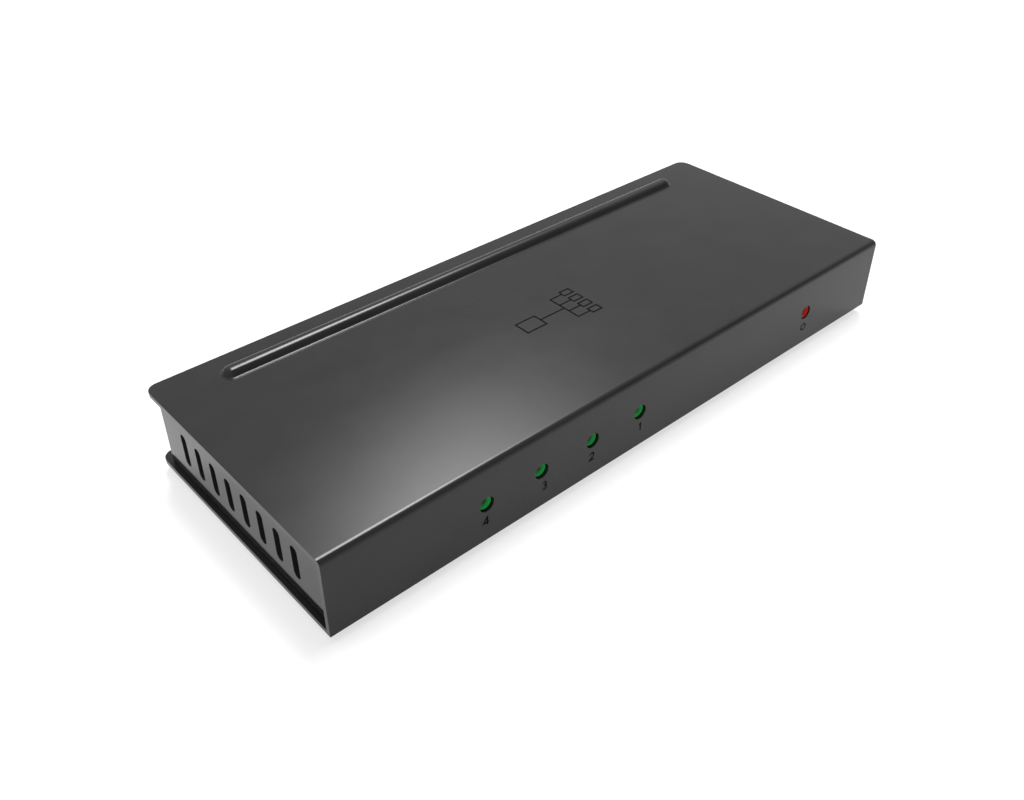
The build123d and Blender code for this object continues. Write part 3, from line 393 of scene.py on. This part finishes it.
def mark(name, lines, width, place, upright):
    """One printed mark: flat strokes, laid on the top or stood up on the front wall."""
    vertices, faces = [], []
    for points in lines:
        more_vertices, more_faces = stroke(points, width)
        faces += [tuple(len(vertices) + i for i in face) for face in more_faces]
        vertices += more_vertices
    mesh = bpy.data.meshes.new(name)
    mesh.from_pydata([Vector(vertex) * MM for vertex in vertices], [], faces)
    mesh.materials.append(mark_material)
    piece = bpy.data.objects.new(name, mesh)
    piece.location = place
    piece.rotation_euler = (pi / 2 if upright else 0.0, 0.0, 0.0)
    bpy.context.scene.collection.objects.link(piece)
    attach(piece, "root")


def arc(radius, start, end, steps, centre=(0.0, 0.0)):
    """Points along an arc; angles in degrees."""
    turns = [radians(start + (end - start) * step / steps) for step in range(steps + 1)]
    return [(centre[0] + radius * cos(turn), centre[1] + radius * sin(turn)) for turn in turns]


def box(left, low, width, height):
    """The sides of a rectangle, from the middle of the lower one and back to it."""
    right, high = left + width, low + height
    middle = (left + width / 2, low)
    return [middle, (right, low), (right, high), (left, high), (left, low), middle]


DIGITS = {
    "1": [[(-0.40, 0.50), (0.05, 0.90), (0.05, -0.90)]],
    "2": [arc(0.52, 165, -35, 10, (0.0, 0.38)) + [(-0.60, -0.90), (0.68, -0.90)]],
    "3": [arc(0.44, 150, -80, 10, (0.0, 0.46)) + arc(0.48, 80, -150, 10, (0.0, -0.42))],
    "4": [[(0.30, -0.90), (0.30, 0.90), (-0.68, -0.38), (0.72, -0.38)]],
}
DIGIT_XS = {"1": -3.3, "2": -17.5, "3": -30.4, "4": -45.2}
POWER_X = 53.4
POWER = [arc(0.85, 125, 415, 18), [(0.0, 0.20), (0.0, 1.12)]]
MARK_WIDTH = 0.34
MARK_Z = 6.8 * MM
MARK_PROUD = 0.01 * MM
front_y = cad_low[1] - MARK_PROUD
for digit, x in DIGIT_XS.items():
    mark(f"lamp_number_{digit}", DIGITS[digit], MARK_WIDTH, (x * MM, front_y, MARK_Z), True)
mark("power_sign", POWER, MARK_WIDTH, (POWER_X * MM, front_y, MARK_Z), True)

# One box, a line that parts into four, and four small boxes
SOURCE_LEFT = -10.5
SOURCE_WIDTH, SOURCE_HEIGHT = 5.4, 4.0
FORK_X = 2.0
SCREEN_LEFT = 5.6
SCREEN_WIDTH, SCREEN_HEIGHT = 2.7, 1.8
SCREEN_YS = (-4.5, -1.5, 1.5, 4.5)
SIGN_WIDTH = 0.36
SIGN_Y = -2.5 * MM
BEAD_RISE = 1.4 * MM  # the bead stands above the top plate by that much
first, last = SCREEN_YS[0], SCREEN_YS[-1]
one_to_four = [
    box(SOURCE_LEFT, -SOURCE_HEIGHT / 2, SOURCE_WIDTH, SOURCE_HEIGHT),
    [(SOURCE_LEFT + SOURCE_WIDTH, 0.0), (FORK_X, 0.0)],
    [(SCREEN_LEFT, last), (FORK_X, last), (FORK_X, first), (SCREEN_LEFT, first)],
]
one_to_four += [[(FORK_X, y), (SCREEN_LEFT, y)] for y in SCREEN_YS[1:-1]]
one_to_four += [
    box(SCREEN_LEFT, y - SCREEN_HEIGHT / 2, SCREEN_WIDTH, SCREEN_HEIGHT) for y in SCREEN_YS
]
top_z = cad_high[2] - BEAD_RISE + MARK_PROUD
mark("one_to_four_sign", one_to_four, SIGN_WIDTH, (0.0, SIGN_Y, top_z), False)

# Floor, lamps and world
FLOOR_REACH = 4.0
FLOOR_COLOUR = (0.36, 0.36, 0.36, 1.0)
FLOOR_GLOW = 0.6
LONG_LAMP_SIDE = (0.888, -0.403, -0.222)  # across the long lamp
LONG_LAMP_HALF_WIDTH = 0.10
LONG_LAMP_LEVEL = 31.0
WALL_LEVEL = 0.8
FRONT_LEVEL = 0.15
WHITE = (1.0, 1.0, 1.0, 1.0)


def emit_for_view(tree, base, strength):
    """Adds light of that strength to what camera, mirror and glass rays see of a surface."""
    path = tree.nodes.new("ShaderNodeLightPath").outputs
    seen = math_node(tree, "MAXIMUM", path["Is Camera Ray"], path["Is Glossy Ray"])
    either = math_node(tree, "MAXIMUM", seen, path["Is Transmission Ray"])
    glow = tree.nodes.new("ShaderNodeEmission")
    tree.links.new(math_node(tree, "MULTIPLY", either, strength), glow.inputs["Strength"])
    both = tree.nodes.new("ShaderNodeAddShader")
    tree.links.new(base, both.inputs[0])
    tree.links.new(glow.outputs[0], both.inputs[1])
    return both.outputs[0]


def make_floor():
    mesh = bpy.data.meshes.new("floor")
    signs = ((-1, -1), (1, -1), (1, 1), (-1, 1))
    corners = [(x * FLOOR_REACH, y * FLOOR_REACH, 0) for x, y in signs]
    mesh.from_pydata(corners, [], [(0, 1, 2, 3)])
    floor = bpy.data.objects.new("floor", mesh)
    bpy.context.scene.collection.objects.link(floor)
    material = bpy.data.materials.new("floor")
    material.use_nodes = True
    tree = material.node_tree
    tree.nodes.clear()
    diffuse = tree.nodes.new("ShaderNodeBsdfDiffuse")
    diffuse.inputs["Color"].default_value = FLOOR_COLOUR
    output = tree.nodes.new("ShaderNodeOutputMaterial")
    surface = emit_for_view(tree, diffuse.outputs[0], FLOOR_GLOW)
    tree.links.new(surface, output.inputs["Surface"])
    mesh.materials.append(material)


def make_lamp(name, place, target, width, height, energy):
    data = bpy.data.lights.new(name, "AREA")
    data.shape = "RECTANGLE"
    data.size = width
    data.size_y = height
    data.energy = energy
    lamp = bpy.data.objects.new(name, data)
    lamp.location = place
    lamp.rotation_euler = (Vector(target) - Vector(place)).to_track_quat("-Z", "Y").to_euler()
    lamp.visible_glossy = False
    bpy.context.scene.collection.objects.link(lamp)


def make_world():
    """A white studio, dark high up in front, with one long soft lamp overhead and behind."""
    world = bpy.data.worlds.new("world")
    bpy.context.scene.world = world
    world.use_nodes = True
    tree = world.node_tree
    tree.nodes.clear()
    direction = tree.nodes.new("ShaderNodeTexCoord").outputs["Generated"]

    def product(first, second):
        return math_node(tree, "MULTIPLY", first, second)

    def along(axis):
        node = tree.nodes.new("ShaderNodeVectorMath")
        node.operation = "DOT_PRODUCT"
        node.inputs[1].default_value = axis
        tree.links.new(direction, node.inputs[0])
        return node.outputs["Value"]

    def ramp(axis, start, end, low, high):
        """A smooth step from low to high as the direction turns along the axis."""
        step = tree.nodes.new("ShaderNodeMapRange")
        step.interpolation_type = "SMOOTHSTEP"
        step.inputs["From Min"].default_value = start
        step.inputs["From Max"].default_value = end
        step.inputs["To Min"].default_value = low
        step.inputs["To Max"].default_value = high
        tree.links.new(along(axis), step.inputs["Value"])
        return step.outputs["Result"]

    across = math_node(tree, "DIVIDE", along(LONG_LAMP_SIDE), LONG_LAMP_HALF_WIDTH)
    bell = math_node(tree, "POWER", 0.5, product(across, across))
    rise = ramp((0.0, -1.0, 1.0), start=-0.11, end=0.38, low=0.0, high=LONG_LAMP_LEVEL)
    rear = ramp((0.0, 1.0, 0.0), start=-0.2, end=0.1, low=0.0, high=1.0)
    wall = ramp((0.0, 0.0, 1.0), start=0.12, end=0.4, low=1.0, high=WALL_LEVEL)
    front = ramp((0.4, -0.6, 0.65), start=0.76, end=0.89, low=1.0, high=FRONT_LEVEL)
    light = math_node(tree, "ADD", product(wall, front), product(product(bell, rise), rear))
    background = tree.nodes.new("ShaderNodeBackground")
    background.inputs["Color"].default_value = WHITE
    tree.links.new(light, background.inputs["Strength"])
    output = tree.nodes.new("ShaderNodeOutputWorld")
    tree.links.new(background.outputs[0], output.inputs["Surface"])


make_floor()
make_world()
make_lamp("top_lamp", (-0.25, -0.1, 1.5), (0.0, 0.0, 0.0), width=1.3, height=1.3, energy=3.0)
make_lamp("fill_lamp", (-0.55, -0.95, 0.55), (0.0, 0.0, 0.01), width=0.9, height=0.6, energy=3.5)
